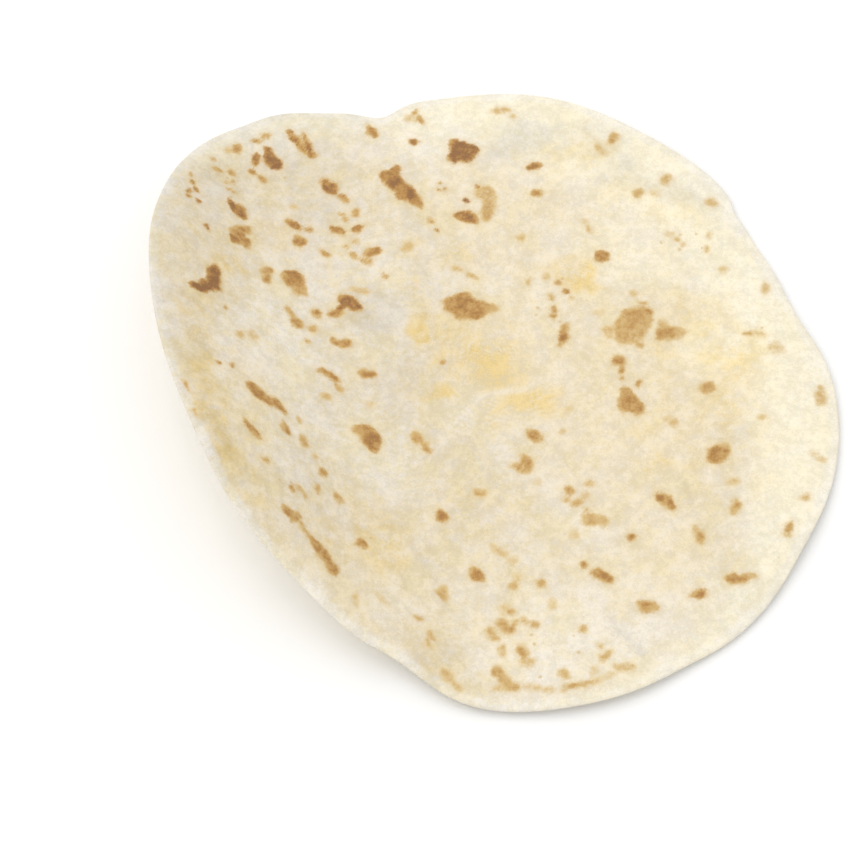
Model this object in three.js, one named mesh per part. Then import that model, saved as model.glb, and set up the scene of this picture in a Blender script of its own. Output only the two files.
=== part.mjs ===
// A plain flour tortilla wrap: one thin round sheet of soft baked dough, which lies on a table
// with its left side bent up, as when a wrap is about to be rolled.
// Millimetres, +Z up. The origin is on the table, under the middle of the wrap's box.
import * as THREE from 'three';

// The sheet while it is still flat
const WRAP_RADIUS = 122;
const SHEET_THICKNESS = 2.2;
const RIM_THICKNESS = 1.6;
const RIM_TAPER = 7;

// How finely the sheet is divided
const SEGMENTS = 136;
const RINGS = 20;
const RIM_STEPS = 4;

// Where the rolled-out edge swells or draws in: degrees round the sheet from +X, millimetres, degrees
const SWELLS = [
  { at: 12, by: -2, spread: 5 },
  { at: 21, by: -9, spread: 13 },
  { at: 31, by: -2.3, spread: 5 },
  { at: 36, by: -1.2, spread: 1.8 },
  { at: 58, by: -4.4, spread: 12 },
  { at: 98, by: -3, spread: 10 },
  { at: 108, by: -5, spread: 3 },
  { at: 123, by: 3.6, spread: 4 },
  { at: 132, by: 11, spread: 9 },
  { at: 145, by: 3, spread: 7 },
  { at: 155, by: 9, spread: 14 },
  { at: 203, by: -5, spread: 12 },
  { at: 229, by: -2, spread: 8 },
  { at: 240, by: -7.5, spread: 14 },
  { at: 255, by: -5, spread: 6 },
  { at: 301, by: -1.2, spread: 5 },
  { at: 312, by: 6.5, spread: 32 },
  { at: 328, by: -1.8, spread: 7 },
];

// The side that is bent up: an arc along the sheet, then a straight flap whose lip leans back out
const BEND_TOWARDS = 199;
const BEND_START = 26;
const BEND_LENGTH = 50;
const BEND_ANGLE = 40;
const LIP_START = 0.86;
const LIP_DROP = 3;

// Where the rim waves: a little off the table on the lying side, and up and down on the bent side
const RIM_WAVES = [
  { at: 62, by: 3.2, spread: 15 },
  { at: 8, by: 1.6, spread: 12 },
  { at: 330, by: 2.2, spread: 10 },
  { at: 287, by: 3, spread: 12 },
  { at: 162, by: 2.2, spread: 9 },
  { at: 186, by: -2, spread: 9 },
  { at: 211, by: 2, spread: 8 },
  { at: 232, by: -2, spread: 8 },
];
const RIM_WAVE_START = 0.62;

// Low blisters that baking has raised on the upper face
const BLISTERS = [
  { x: 55, y: 18, width: 34, height: 1.5 },
  { x: 0, y: 67, width: 24, height: 1.1 },
  { x: -5, y: 27, width: 26, height: 0.9 },
  { x: -27, y: 73, width: 22, height: 0.9 },
  { x: -5, y: 88, width: 18, height: 0.8 },
  { x: 52, y: -10, width: 18, height: 0.8 },
  { x: 82, y: -30, width: 18, height: 0.8 },
  { x: 90, y: -77, width: 18, height: 0.7 },
  { x: 40, y: -55, width: 18, height: 0.7 },
  { x: 0, y: -77, width: 16, height: 0.7 },
  { x: -40, y: -25, width: 20, height: 0.9 },
  { x: -47, y: 29, width: 22, height: 0.9 },
  { x: -93, y: 36, width: 24, height: 1.1 },
  { x: -70, y: -48, width: 26, height: 1.0 },
];

const DOUGH = { color: 0xefe3c6, roughness: 0.85, metalness: 0 };

// A step for measuring slopes
const SLOPE_STEP = 0.01;

function bell(distance, spread) {
  return Math.exp(-0.5 * (distance / spread) ** 2);
}

function degreesApart(a, b) {
  return Math.abs(((a - b + 540) % 360) - 180);
}

// The sum of a list of bells placed round the sheet
function roundTheSheet(bells, angle) {
  return bells.reduce((sum, { at, by, spread }) => sum + by * bell(degreesApart(angle, at), spread), 0);
}

function edgeRadius(angle) {
  return WRAP_RADIUS + roundTheSheet(SWELLS, angle);
}

function angleOf(x, y) {
  return (THREE.MathUtils.radToDeg(Math.atan2(y, x)) + 360) % 360;
}

// The place on the underside of the bent sheet that the point (x, y) of the flat sheet goes to
function underside(x, y) {
  const angle = angleOf(x, y);
  const share = Math.hypot(x, y) / edgeRadius(angle);
  const towards = THREE.MathUtils.degToRad(BEND_TOWARDS);
  const fullTurn = THREE.MathUtils.degToRad(BEND_ANGLE);
  const bendRadius = BEND_LENGTH / fullTurn;

  const along = x * Math.cos(towards) + y * Math.sin(towards);
  const across = y * Math.cos(towards) - x * Math.sin(towards);
  const past = Math.max(0, along - BEND_START);
  const onArc = Math.min(past, BEND_LENGTH);
  const onFlap = past - onArc;
  const turn = onArc / bendRadius;

  const reach = Math.min(along, BEND_START) + bendRadius * Math.sin(turn) + onFlap * Math.cos(turn);
  const rise = bendRadius * (1 - Math.cos(turn)) + onFlap * Math.sin(turn);
  const lip = Math.max(0, (share - LIP_START) / (1 - LIP_START));
  const drop = LIP_DROP * lip ** 2 * (turn / fullTurn) ** 2;
  const wave = roundTheSheet(RIM_WAVES, angle) * THREE.MathUtils.smoothstep(share, RIM_WAVE_START, 1);
  return new THREE.Vector3(
    reach * Math.cos(towards) - across * Math.sin(towards),
    reach * Math.sin(towards) + across * Math.cos(towards),
    rise - drop + wave,
  );
}

function upwards(x, y) {
  const here = underside(x, y);
  const alongX = underside(x + SLOPE_STEP, y).sub(here);
  const alongY = underside(x, y + SLOPE_STEP).sub(here);
  return alongX.cross(alongY).normalize();
}

function blisterHeight(x, y) {
  return BLISTERS.reduce((sum, blister) => {
    const distance = Math.hypot(x - blister.x, y - blister.y);
    return sum + blister.height * bell(distance, blister.width / 4);
  }, 0);
}

// Half of the flat sheet's cross-section: out along the underside, round the rim, back along the top
function sectionProfile() {
  const rimRadius = RIM_THICKNESS / 2;
  const rimCentre = WRAP_RADIUS - rimRadius;
  const lower = [];
  const upper = [];
  for (let ring = 0; ring <= RINGS; ring += 1) {
    const radius = (rimCentre * ring) / RINGS;
    const taper = THREE.MathUtils.smoothstep(radius, rimCentre - RIM_TAPER, rimCentre);
    lower.push(new THREE.Vector2(radius, 0));
    upper.unshift(new THREE.Vector2(radius, THREE.MathUtils.lerp(SHEET_THICKNESS, RIM_THICKNESS, taper)));
  }
  const rim = [];
  for (let step = 1; step < RIM_STEPS; step += 1) {
    const turn = (Math.PI * step) / RIM_STEPS - Math.PI / 2;
    rim.push(new THREE.Vector2(rimCentre + rimRadius * Math.cos(turn), rimRadius * (1 + Math.sin(turn))));
  }
  return [...lower, ...rim, ...upper];
}

// The round sheet is turned on its axis, then each point takes its place on the bent, blistered sheet
function wrapGeometry() {
  const geometry = new THREE.LatheGeometry(sectionProfile(), SEGMENTS);
  geometry.rotateX(Math.PI / 2);
  const points = geometry.attributes.position;
  for (let index = 0; index < points.count; index += 1) {
    const turnedX = points.getX(index);
    const turnedY = points.getY(index);
    const height = points.getZ(index);
    const swell = edgeRadius(angleOf(turnedX, turnedY)) / WRAP_RADIUS;
    const x = turnedX * swell;
    const y = turnedY * swell;
    const upperFace = height / SHEET_THICKNESS;
    const place = underside(x, y);
    place.addScaledVector(upwards(x, y), height + upperFace * blisterHeight(x, y));
    points.setXYZ(index, place.x, place.y, place.z);
  }
  geometry.computeBoundingBox();
  const middle = geometry.boundingBox.getCenter(new THREE.Vector3());
  geometry.translate(-middle.x, -middle.y, -geometry.boundingBox.min.z);
  geometry.computeVertexNormals();
  return geometry;
}

const tortilla = new THREE.Mesh(wrapGeometry(), new THREE.MeshStandardMaterial(DOUGH));
tortilla.name = 'tortilla';

const wrap = new THREE.Group();
wrap.add(tortilla);

export default wrap;
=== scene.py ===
"""A plain flour tortilla wrap on a white table: a thin round sheet of baked dough, its left side bent up.

The sheet is modelled in millimetres while it is flat, bent into place, and then moved to metres.
Its toasted marks were read from the photograph, each by the pixel it is centred on and its size
on the sheet.
"""
import math
from collections import namedtuple

import bpy
import numpy as np
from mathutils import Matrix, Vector, noise


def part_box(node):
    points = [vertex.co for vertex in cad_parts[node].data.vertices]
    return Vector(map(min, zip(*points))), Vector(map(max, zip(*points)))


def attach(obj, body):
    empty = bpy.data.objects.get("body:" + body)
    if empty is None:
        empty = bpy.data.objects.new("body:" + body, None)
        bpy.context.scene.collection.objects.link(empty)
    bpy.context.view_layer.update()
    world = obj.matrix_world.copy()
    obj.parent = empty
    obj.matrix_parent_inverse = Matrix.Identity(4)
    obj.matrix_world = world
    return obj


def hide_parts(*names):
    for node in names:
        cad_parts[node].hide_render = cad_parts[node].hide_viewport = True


MM = 0.001

# The sheet while it is still flat, in millimetres
WRAP_RADIUS = 122
SHEET_THICKNESS = 2.2
RIM_THICKNESS = 1.6
RIM_TAPER = 7

# How finely its two faces and its rim are divided
UPPER_CELLS = 264
LOWER_CELLS = UPPER_CELLS // 2
RIM_STEPS = 5

# A swell or a wave of the rim: degrees round the sheet from +X, millimetres, degrees
Bell = namedtuple("Bell", "at by spread")

SWELLS = [
    Bell(12, -2, 5),
    Bell(21, -9, 13),
    Bell(31, -2.3, 5),
    Bell(36, -1.2, 1.8),
    Bell(58, -4.4, 12),
    Bell(98, -3, 10),
    Bell(108, -5, 3),
    Bell(123, 3.6, 4),
    Bell(132, 11, 9),
    Bell(145, 3, 7),
    Bell(155, 9, 14),
    Bell(203, -5, 12),
    Bell(229, -2, 8),
    Bell(240, -7.5, 14),
    Bell(255, -5, 6),
    Bell(301, -1.2, 5),
    Bell(312, 6.5, 32),
    Bell(328, -1.8, 7),
]

# The side that is bent up: an arc along the sheet, then a straight flap whose lip leans back out
BEND_TOWARDS = math.radians(199)
BEND_START = 26
BEND_LENGTH = 50
BEND_ANGLE = math.radians(40)
LIP_START = 0.86
LIP_DROP = 3

# Where the rim waves: a little off the table on the lying side, and up and down on the bent side
RIM_WAVES = [
    Bell(62, 3.2, 15),
    Bell(8, 1.6, 12),
    Bell(330, 2.2, 10),
    Bell(287, 3, 12),
    Bell(162, 2.2, 9),
    Bell(186, -2, 9),
    Bell(211, 2, 8),
    Bell(232, -2, 8),
]
RIM_WAVE_START = 0.62

# Low blisters on the upper face: place on the flat sheet, width and height
Blister = namedtuple("Blister", "x y width height")

BLISTERS = [
    Blister(55, 18, 34, 1.5),
    Blister(0, 67, 24, 1.1),
    Blister(-5, 27, 26, 0.9),
    Blister(-27, 73, 22, 0.9),
    Blister(-5, 88, 18, 0.8),
    Blister(52, -10, 18, 0.8),
    Blister(82, -30, 18, 0.8),
    Blister(90, -77, 18, 0.7),
    Blister(40, -55, 18, 0.7),
    Blister(0, -77, 16, 0.7),
    Blister(-40, -25, 20, 0.9),
    Blister(-47, 29, 22, 0.9),
    Blister(-93, 36, 24, 1.1),
    Blister(-70, -48, 26, 1.0),
]

# The camera: height above the table, distance, and the photograph's pixels for each millimetre there
CAMERA_HEIGHT = math.radians(62)
CAMERA_DISTANCE = 850
PIXELS_PER_MM = 2.9
PHOTO_SIZE = 850
SENSOR_WIDTH = 36
AIM = (-24.0, -15.6, 0.0)

# A toasted mark: the pixel it is centred on, its length and width on the sheet, its turn, how brown it is
Toast = namedtuple("Toast", "px py long wide turn depth")

BENT_SIDE_TOASTS = [
    Toast(295, 139, 8.8, 2.6, -48, 0.88),
    Toast(302, 146, 9.0, 3.2, -56, 0.64),
    Toast(289, 132, 3.2, 2.6, -60, 0.92),
    Toast(308, 145, 10.5, 2.6, -66, 0.80),
    Toast(312, 154, 4.4, 3.2, -70, 0.76),
    Toast(255, 159, 6.2, 3.2, 85, 0.80),
    Toast(274, 164, 8.4, 6.6, -30, 0.95),
    Toast(269, 154, 8.0, 3.8, -65, 0.82),
    Toast(253, 173, 3.4, 2.8, -20, 0.66),
    Toast(262, 178, 3.8, 2.4, -60, 0.66),
    Toast(265, 136, 4.2, 2.8, 10, 0.56),
    Toast(256, 140, 3.0, 2.4, 20, 0.66),
    Toast(238, 149, 4.6, 3.6, 70, 0.70),
    Toast(228, 151, 4.2, 2.4, 10, 0.34),
    Toast(213, 160, 2.1, 1.8, 0, 0.62),
    Toast(217, 170, 3.8, 2.4, 10, 0.60),
    Toast(231, 173, 3.2, 3.4, 60, 0.60),
    Toast(227, 183, 1.9, 1.6, 0, 0.60),
    Toast(233, 182, 2.0, 1.6, 0, 0.58),
    Toast(229, 191, 2.1, 1.7, 0, 0.60),
    Toast(235, 193, 1.9, 1.6, 0, 0.58),
    Toast(191, 174, 3.0, 1.7, 85, 0.56),
    Toast(191, 182, 2.9, 2.0, 80, 0.84),
    Toast(188, 190, 2.5, 2.1, 60, 0.86),
    Toast(195, 188, 2.7, 2.0, -50, 0.84),
    Toast(190, 195, 2.7, 2.1, 30, 0.84),
    Toast(197, 201, 2.5, 1.8, -50, 0.80),
    Toast(239, 212, 7.0, 5.4, -50, 0.90),
    Toast(234, 206, 7.2, 3.4, -52, 0.84),
    Toast(239, 235, 6.6, 6.6, 0, 0.70),
    Toast(241, 240, 8.0, 4.4, 0, 0.66),
    Toast(246, 246, 5.2, 3.4, -10, 0.58),
    Toast(236, 241, 5.0, 5.0, 0, 0.74),
    Toast(247, 231, 4.4, 3.8, 30, 0.58),
    Toast(241, 230, 5.8, 4.0, 0, 0.66),
    Toast(205, 226, 3.0, 1.7, 15, 0.88),
    Toast(208, 229, 2.8, 1.6, -75, 0.88),
    Toast(213, 276, 11.5, 6.4, 85, 0.95),
    Toast(203, 287, 11.4, 3.6, 12, 0.95),
    Toast(207, 284, 6.0, 4.6, 25, 0.92),
    Toast(213, 286, 6.4, 5.2, 20, 0.92),
    Toast(266, 270, 6.0, 4.0, 10, 0.52),
    Toast(268, 277, 6.0, 3.6, 80, 0.56),
    Toast(270, 272, 3.4, 3.4, 0, 0.46),
    Toast(294, 279, 8.2, 7.2, 0, 0.66),
    Toast(298, 287, 8.0, 5.4, -60, 0.54),
    Toast(294, 274, 7.0, 3.4, 10, 0.84),
    Toast(294, 226, 6.4, 3.4, -25, 0.78),
    Toast(299, 242, 5.6, 5.0, -30, 0.68),
    Toast(309, 230, 3.2, 2.8, 0, 0.72),
    Toast(295, 209, 3.2, 2.0, -20, 0.44),
    Toast(291, 313, 5.4, 2.6, -55, 0.50),
    Toast(297, 323, 6.0, 4.2, -35, 0.60),
    Toast(317, 313, 4.2, 3.8, 60, 0.66),
    Toast(312, 328, 3.0, 2.8, 0, 0.58),
    Toast(307, 341, 2.2, 2.0, 0, 0.52),
    Toast(226, 308, 2.2, 1.7, -40, 0.64),
    Toast(240, 334, 3.2, 2.4, 0, 0.42),
    Toast(252, 336, 4.0, 3.2, 0, 0.32),
    Toast(218, 362, 2.2, 1.6, -40, 0.66),
    Toast(186, 384, 5.5, 1.4, -62, 0.44),
    Toast(196, 413, 3.0, 1.3, -62, 0.40),
    Toast(234, 365, 2.6, 1.5, 80, 0.70),
    Toast(256, 390, 9.0, 5.8, -30, 0.68),
    Toast(265, 398, 7.6, 4.4, -28, 0.62),
    Toast(278, 406, 7.6, 3.4, -36, 0.68),
    Toast(252, 430, 8.8, 3.8, -44, 0.64),
    Toast(283, 427, 5.2, 3.2, -60, 0.64),
    Toast(299, 420, 2.8, 1.4, -50, 0.46),
    Toast(304, 442, 4.8, 3.6, -50, 0.50),
    Toast(264, 460, 2.2, 2.1, 0, 0.64),
    Toast(317, 458, 2.0, 1.5, -30, 0.40),
    Toast(322, 472, 3.8, 3.4, -50, 0.60),
    Toast(317, 489, 4.2, 2.6, 85, 0.60),
    Toast(292, 487, 2.6, 2.4, -40, 0.70),
    Toast(302, 492, 4.6, 1.4, -40, 0.46),
    Toast(338, 498, 4.4, 2.8, -25, 0.54),
    Toast(291, 515, 7.6, 4.6, -30, 0.62),
    Toast(297, 516, 4.4, 3.4, 0, 0.52),
    Toast(304, 530, 8.0, 2.6, -48, 0.46),
    Toast(322, 554, 15.0, 4.8, -46, 0.62),
    Toast(333, 568, 6.2, 5.0, -50, 0.68),
    Toast(363, 544, 5.0, 3.6, -18, 0.66),
    Toast(354, 598, 5.0, 1.8, 85, 0.26),
    Toast(382, 601, 6.0, 2.0, -35, 0.20),
    Toast(419, 619, 3.0, 1.8, -40, 0.50),
    Toast(432, 636, 3.6, 2.2, -50, 0.60),
    Toast(429, 645, 3.0, 1.7, -60, 0.46),
    Toast(449, 676, 5.8, 3.0, -50, 0.44),
    Toast(456, 686, 4.2, 2.2, -50, 0.40),
]

FOLD_TOASTS = [
    Toast(329, 187, 8.6, 5.0, -55, 0.86),
    Toast(343, 199, 4.8, 2.6, -45, 0.74),
    Toast(338, 230, 5.4, 3.6, -20, 0.80),
    Toast(357, 228, 4.6, 3.0, 25, 0.78),
    Toast(356, 213, 3.2, 3.0, 0, 0.66),
    Toast(340, 214, 2.4, 1.8, -20, 0.60),
    Toast(345, 218, 2.2, 1.7, -40, 0.56),
    Toast(346, 245, 2.4, 1.6, 0, 0.52),
    Toast(355, 242, 2.6, 1.4, 0, 0.48),
    Toast(371, 252, 6.4, 4.4, 25, 0.64),
    Toast(355, 256, 4.0, 2.2, -50, 0.62),
    Toast(362, 261, 3.6, 1.8, -10, 0.54),
    Toast(368, 262, 3.2, 2.2, 15, 0.62),
    Toast(326, 253, 3.6, 2.6, -40, 0.56),
    Toast(384, 276, 1.9, 1.7, 0, 0.72),
    Toast(346, 302, 8.2, 4.6, -12, 0.88),
    Toast(353, 306, 7.0, 4.2, -14, 0.82),
    Toast(342, 308, 5.4, 3.6, 40, 0.80),
    Toast(335, 313, 6.4, 3.4, 25, 0.66),
    Toast(361, 292, 7.0, 2.2, -8, 0.34),
    Toast(335, 340, 4.2, 2.4, -35, 0.62),
    Toast(346, 343, 5.6, 3.4, 5, 0.64),
    Toast(328, 375, 8.6, 3.2, -24, 0.64),
    Toast(338, 386, 4.8, 2.6, -45, 0.54),
    Toast(366, 373, 7.2, 3.2, -5, 0.62),
    Toast(326, 396, 4.2, 2.6, 10, 0.38),
    Toast(371, 405, 2.4, 2.0, 0, 0.36),
    Toast(364, 433, 8.8, 6.0, -8, 0.70),
    Toast(367, 439, 8.4, 7.0, -40, 0.70),
    Toast(362, 438, 5.0, 3.4, -45, 0.66),
    Toast(373, 441, 9.4, 6.8, -70, 0.74),
    Toast(417, 437, 6.0, 3.6, -45, 0.60),
    Toast(423, 444, 4.8, 2.4, -45, 0.52),
    Toast(427, 449, 3.6, 2.2, -15, 0.56),
    Toast(372, 132, 6.4, 3.2, -58, 0.68),
    Toast(402, 190, 12.0, 7.0, -46, 0.84),
    Toast(410, 197, 11.0, 5.2, -46, 0.84),
    Toast(416, 203, 7.0, 3.4, -46, 0.82),
    Toast(392, 180, 10.5, 7.4, -46, 0.86),
    Toast(394, 171, 5.2, 4.0, 70, 0.76),
]

BACK_TOASTS = [
    Toast(461, 151, 8.6, 8.6, 0, 1.00),
    Toast(455, 145, 5.0, 4.0, 0, 0.76),
    Toast(454, 157, 5.4, 5.0, 0, 1.00),
    Toast(464, 158, 8.5, 5.0, 0, 0.96),
    Toast(471, 151, 7.6, 5.4, -10, 0.94),
    Toast(415, 142, 3.8, 3.4, 0, 0.80),
    Toast(415, 113, 3.0, 1.8, 80, 0.52),
    Toast(420, 120, 3.6, 2.2, -40, 0.56),
    Toast(411, 118, 5.0, 3.2, 0, 0.26),
    Toast(500, 111, 7.0, 3.0, 5, 0.36),
    Toast(512, 116, 1.7, 1.5, 0, 0.40),
    Toast(535, 166, 5.8, 3.2, 15, 0.70),
    Toast(537, 194, 3.8, 3.4, 20, 0.62),
    Toast(485, 194, 7.0, 6.4, 0, 0.42),
    Toast(488, 204, 7.6, 5.2, 85, 0.44),
    Toast(487, 215, 6.8, 4.6, 80, 0.44),
    Toast(478, 188, 1.8, 1.6, 0, 0.85),
    Toast(467, 217, 9.4, 5.2, -15, 0.78),
    Toast(465, 201, 3.2, 1.7, -50, 1.00),
    Toast(520, 237, 2.6, 2.4, 0, 0.38),
    Toast(601, 255, 5.4, 5.2, 0, 0.68),
    Toast(409, 248, 4.2, 3.0, 10, 0.44),
    Toast(431, 221, 3.0, 1.3, -50, 0.58),
    Toast(438, 229, 1.9, 1.6, 0, 0.74),
    Toast(439, 189, 1.5, 1.3, 0, 0.70),
    Toast(446, 189, 1.4, 1.3, 0, 0.70),
    Toast(441, 183, 1.4, 1.2, 0, 0.64),
    Toast(589, 228, 3.6, 2.2, -60, 0.40),
    Toast(585, 221, 1.8, 1.5, 0, 0.32),
    Toast(615, 138, 5.2, 2.6, 65, 0.54),
    Toast(601, 148, 5.8, 2.4, -50, 0.36),
    Toast(666, 180, 4.8, 4.0, 40, 0.42),
    Toast(639, 193, 3.6, 3.2, 60, 0.48),
    Toast(653, 192, 3.6, 1.6, -20, 0.25),
    Toast(713, 203, 4.0, 3.0, -20, 0.40),
    Toast(676, 240, 2.2, 1.9, 0, 0.44),
    Toast(669, 235, 2.6, 1.6, 20, 0.28),
    Toast(684, 245, 1.8, 1.5, 0, 0.34),
    Toast(708, 236, 2.4, 1.8, 0, 0.25),
    Toast(708, 249, 2.0, 1.7, 0, 0.38),
    Toast(721, 269, 2.8, 2.4, 0, 0.28),
    Toast(766, 290, 4.6, 2.2, 80, 0.42),
]

MIDDLE_TOASTS = [
    Toast(461, 307, 12.0, 9.6, -5, 0.72),
    Toast(467, 313, 12.0, 6.2, -4, 0.66),
    Toast(472, 308, 13.5, 6.8, -3, 0.60),
    Toast(465, 298, 6.0, 4.2, 0, 0.68),
    Toast(450, 301, 4.6, 3.8, 0, 0.54),
    Toast(487, 309, 9.0, 4.6, 2, 0.56),
    Toast(457, 269, 3.4, 1.6, 0, 0.46),
    Toast(472, 276, 4.8, 1.5, -35, 0.56),
    Toast(545, 277, 3.2, 2.4, 30, 0.38),
    Toast(558, 283, 1.9, 1.7, 0, 0.58),
    Toast(567, 291, 2.6, 2.4, 0, 0.72),
    Toast(570, 297, 1.8, 1.5, 0, 0.50),
    Toast(552, 297, 2.0, 1.8, 0, 0.54),
    Toast(554, 310, 3.2, 2.0, 80, 0.56),
    Toast(554, 315, 2.2, 2.0, 0, 0.58),
    Toast(564, 330, 4.2, 3.4, 90, 0.68),
    Toast(564, 339, 4.4, 3.6, 60, 0.72),
    Toast(560, 345, 2.8, 1.7, 50, 0.58),
    Toast(527, 283, 1.7, 1.5, 0, 0.54),
    Toast(599, 312, 3.4, 2.4, 0, 0.22),
    Toast(631, 330, 14.0, 11.0, 55, 0.50),
    Toast(643, 321, 7.0, 7.6, 0, 0.54),
    Toast(630, 340, 8.0, 5.0, 10, 0.44),
    Toast(625, 320, 5.0, 4.0, 0, 0.54),
    Toast(637, 314, 11.0, 5.0, 8, 0.57),
    Toast(608, 333, 3.8, 3.6, 0, 0.40),
    Toast(668, 334, 9.4, 6.2, 8, 0.55),
    Toast(678, 332, 6.4, 3.4, 0, 0.42),
    Toast(663, 325, 3.2, 3.0, 0, 0.48),
    Toast(638, 346, 3.0, 2.6, 0, 0.50),
    Toast(633, 294, 3.4, 2.0, 0, 0.38),
    Toast(642, 303, 3.0, 1.6, 0, 0.48),
    Toast(619, 361, 4.4, 3.8, 0, 0.62),
    Toast(620, 368, 4.6, 2.4, 85, 0.62),
    Toast(621, 379, 2.1, 1.9, 0, 0.60),
    Toast(637, 384, 3.2, 2.2, 85, 0.58),
    Toast(627, 404, 8.4, 7.4, 80, 0.62),
    Toast(634, 409, 9.0, 4.6, -10, 0.68),
    Toast(627, 396, 5.4, 4.0, 85, 0.62),
    Toast(708, 388, 6.0, 4.4, 20, 0.54),
    Toast(676, 423, 2.8, 2.4, 50, 0.46),
    Toast(667, 420, 1.7, 1.5, 0, 0.36),
    Toast(564, 431, 1.9, 1.7, 0, 0.44),
    Toast(569, 410, 2.8, 1.7, 0, 0.27),
    Toast(441, 362, 2.8, 1.9, -20, 0.62),
    Toast(535, 437, 5.8, 4.6, -55, 0.64),
    Toast(531, 432, 3.0, 2.0, -45, 0.50),
    Toast(518, 466, 6.2, 3.0, -8, 0.44),
    Toast(526, 464, 6.8, 4.0, -70, 0.60),
    Toast(522, 470, 5.0, 2.6, -12, 0.55),
    Toast(479, 493, 4.8, 3.8, 0, 0.48),
    Toast(442, 517, 6.4, 4.6, -75, 0.68),
    Toast(477, 575, 6.4, 5.0, -60, 0.68),
    Toast(441, 593, 6.2, 4.2, 85, 0.44),
    Toast(569, 491, 4.0, 2.8, -20, 0.54),
    Toast(566, 499, 2.6, 2.2, 0, 0.50),
    Toast(577, 504, 4.4, 2.8, 15, 0.48),
    Toast(584, 497, 3.0, 2.0, 10, 0.34),
    Toast(586, 509, 1.8, 1.6, 0, 0.48),
    Toast(595, 520, 9.2, 4.6, -3, 0.46),
    Toast(590, 484, 3.6, 2.2, 0, 0.42),
    Toast(574, 535, 4.0, 3.6, 60, 0.24),
    Toast(537, 482, 2.2, 1.7, 0, 0.28),
    Toast(601, 575, 6.6, 4.0, -15, 0.64),
    Toast(607, 578, 4.2, 3.2, -25, 0.70),
    Toast(584, 564, 3.0, 2.6, -40, 0.60),
    Toast(541, 582, 2.8, 2.8, 0, 0.54),
    Toast(498, 551, 6.4, 2.2, -28, 0.34),
    Toast(512, 561, 3.2, 3.0, 0, 0.24),
    Toast(512, 587, 2.4, 2.4, 0, 0.58),
    Toast(516, 578, 3.2, 1.8, 80, 0.38),
    Toast(552, 603, 3.8, 3.0, 85, 0.26),
]

RIGHT_TOASTS = [
    Toast(717, 455, 8.6, 6.8, 25, 0.68),
    Toast(723, 450, 6.0, 4.6, 40, 0.48),
    Toast(664, 501, 9.6, 4.2, -42, 0.66),
    Toast(735, 508, 4.4, 3.0, 75, 0.54),
    Toast(736, 503, 2.4, 2.0, 60, 0.44),
    Toast(790, 527, 5.2, 2.8, 45, 0.54),
    Toast(786, 533, 3.6, 3.0, 0, 0.40),
    Toast(700, 537, 4.4, 2.7, -75, 0.58),
    Toast(697, 529, 3.2, 1.8, -75, 0.46),
    Toast(736, 578, 8.2, 4.0, 0, 0.60),
    Toast(750, 578, 6.0, 2.4, 0, 0.50),
    Toast(647, 607, 7.0, 4.6, -8, 0.60),
    Toast(698, 593, 6.2, 3.8, 10, 0.64),
    Toast(632, 537, 3.6, 2.8, 60, 0.64),
    Toast(733, 481, 3.4, 2.6, 0, 0.36),
    Toast(749, 333, 3.4, 1.4, -5, 0.48),
    Toast(758, 334, 5.2, 1.8, -8, 0.28),
    Toast(777, 350, 5.2, 3.8, -10, 0.26),
    Toast(820, 396, 7.2, 3.0, 87, 0.40),
    Toast(760, 418, 2.8, 1.6, 20, 0.28),
    Toast(822, 460, 3.6, 1.7, -20, 0.30),
    Toast(814, 455, 2.4, 1.5, -10, 0.25),
    Toast(804, 497, 2.8, 1.8, 10, 0.42),
]

FRONT_TOASTS = [
    Toast(502, 625, 4.6, 3.0, -20, 0.58),
    Toast(508, 629, 5.6, 3.0, 0, 0.60),
    Toast(515, 624, 3.4, 1.9, 20, 0.42),
    Toast(491, 633, 5.4, 3.0, -55, 0.42),
    Toast(490, 630, 1.8, 1.6, 0, 0.55),
    Toast(534, 626, 3.2, 2.6, 20, 0.58),
    Toast(525, 622, 2.8, 1.6, -20, 0.40),
    Toast(507, 608, 4.6, 3.6, 0, 0.28),
    Toast(510, 611, 2.8, 2.4, 0, 0.50),
    Toast(503, 650, 4.4, 2.6, 85, 0.42),
    Toast(523, 651, 4.4, 3.0, -75, 0.54),
    Toast(527, 662, 5.4, 3.8, 0, 0.38),
    Toast(496, 672, 4.4, 3.6, -30, 0.54),
    Toast(506, 680, 5.6, 3.2, -40, 0.52),
    Toast(511, 686, 6.4, 3.0, 0, 0.50),
    Toast(500, 688, 4.2, 1.8, 10, 0.36),
    Toast(536, 687, 9.5, 1.6, -8, 0.34),
    Toast(564, 673, 3.8, 3.4, -30, 0.46),
    Toast(578, 686, 10.5, 1.7, 14, 0.44),
    Toast(594, 681, 5.4, 1.8, 25, 0.34),
    Toast(607, 676, 5.0, 1.6, 20, 0.27),
    Toast(583, 629, 3.6, 3.0, 30, 0.56),
    Toast(606, 655, 5.2, 2.2, 30, 0.46),
    Toast(594, 670, 3.2, 1.8, 20, 0.27),
    Toast(602, 645, 2.0, 1.6, 0, 0.36),
    Toast(625, 666, 7.0, 3.0, 5, 0.36),
]

TOASTS = BENT_SIDE_TOASTS + FOLD_TOASTS + BACK_TOASTS + MIDDLE_TOASTS + RIGHT_TOASTS + FRONT_TOASTS

# How far the brownest mark rises, and the stretch over which it does, from outside its outline to inside it
TOAST_RISE = 0.22
TOAST_SHOULDER = (0.8, -1.0)

# How far a mark's outline wanders, over what length, and the distance beyond which no mark counts
TOAST_WANDER = 0.9
TOAST_WANDER_LENGTH = 5.0
FAR_FROM_TOAST = 12.0

# Marks drawn at random on the underside: how many, how far out, and how many places are tried for each
UNDERSIDE_TOASTS = 70
UNDERSIDE_REACH = 0.92
UNDERSIDE_TRIES = 12
RANDOM_SEED = 11

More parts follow.
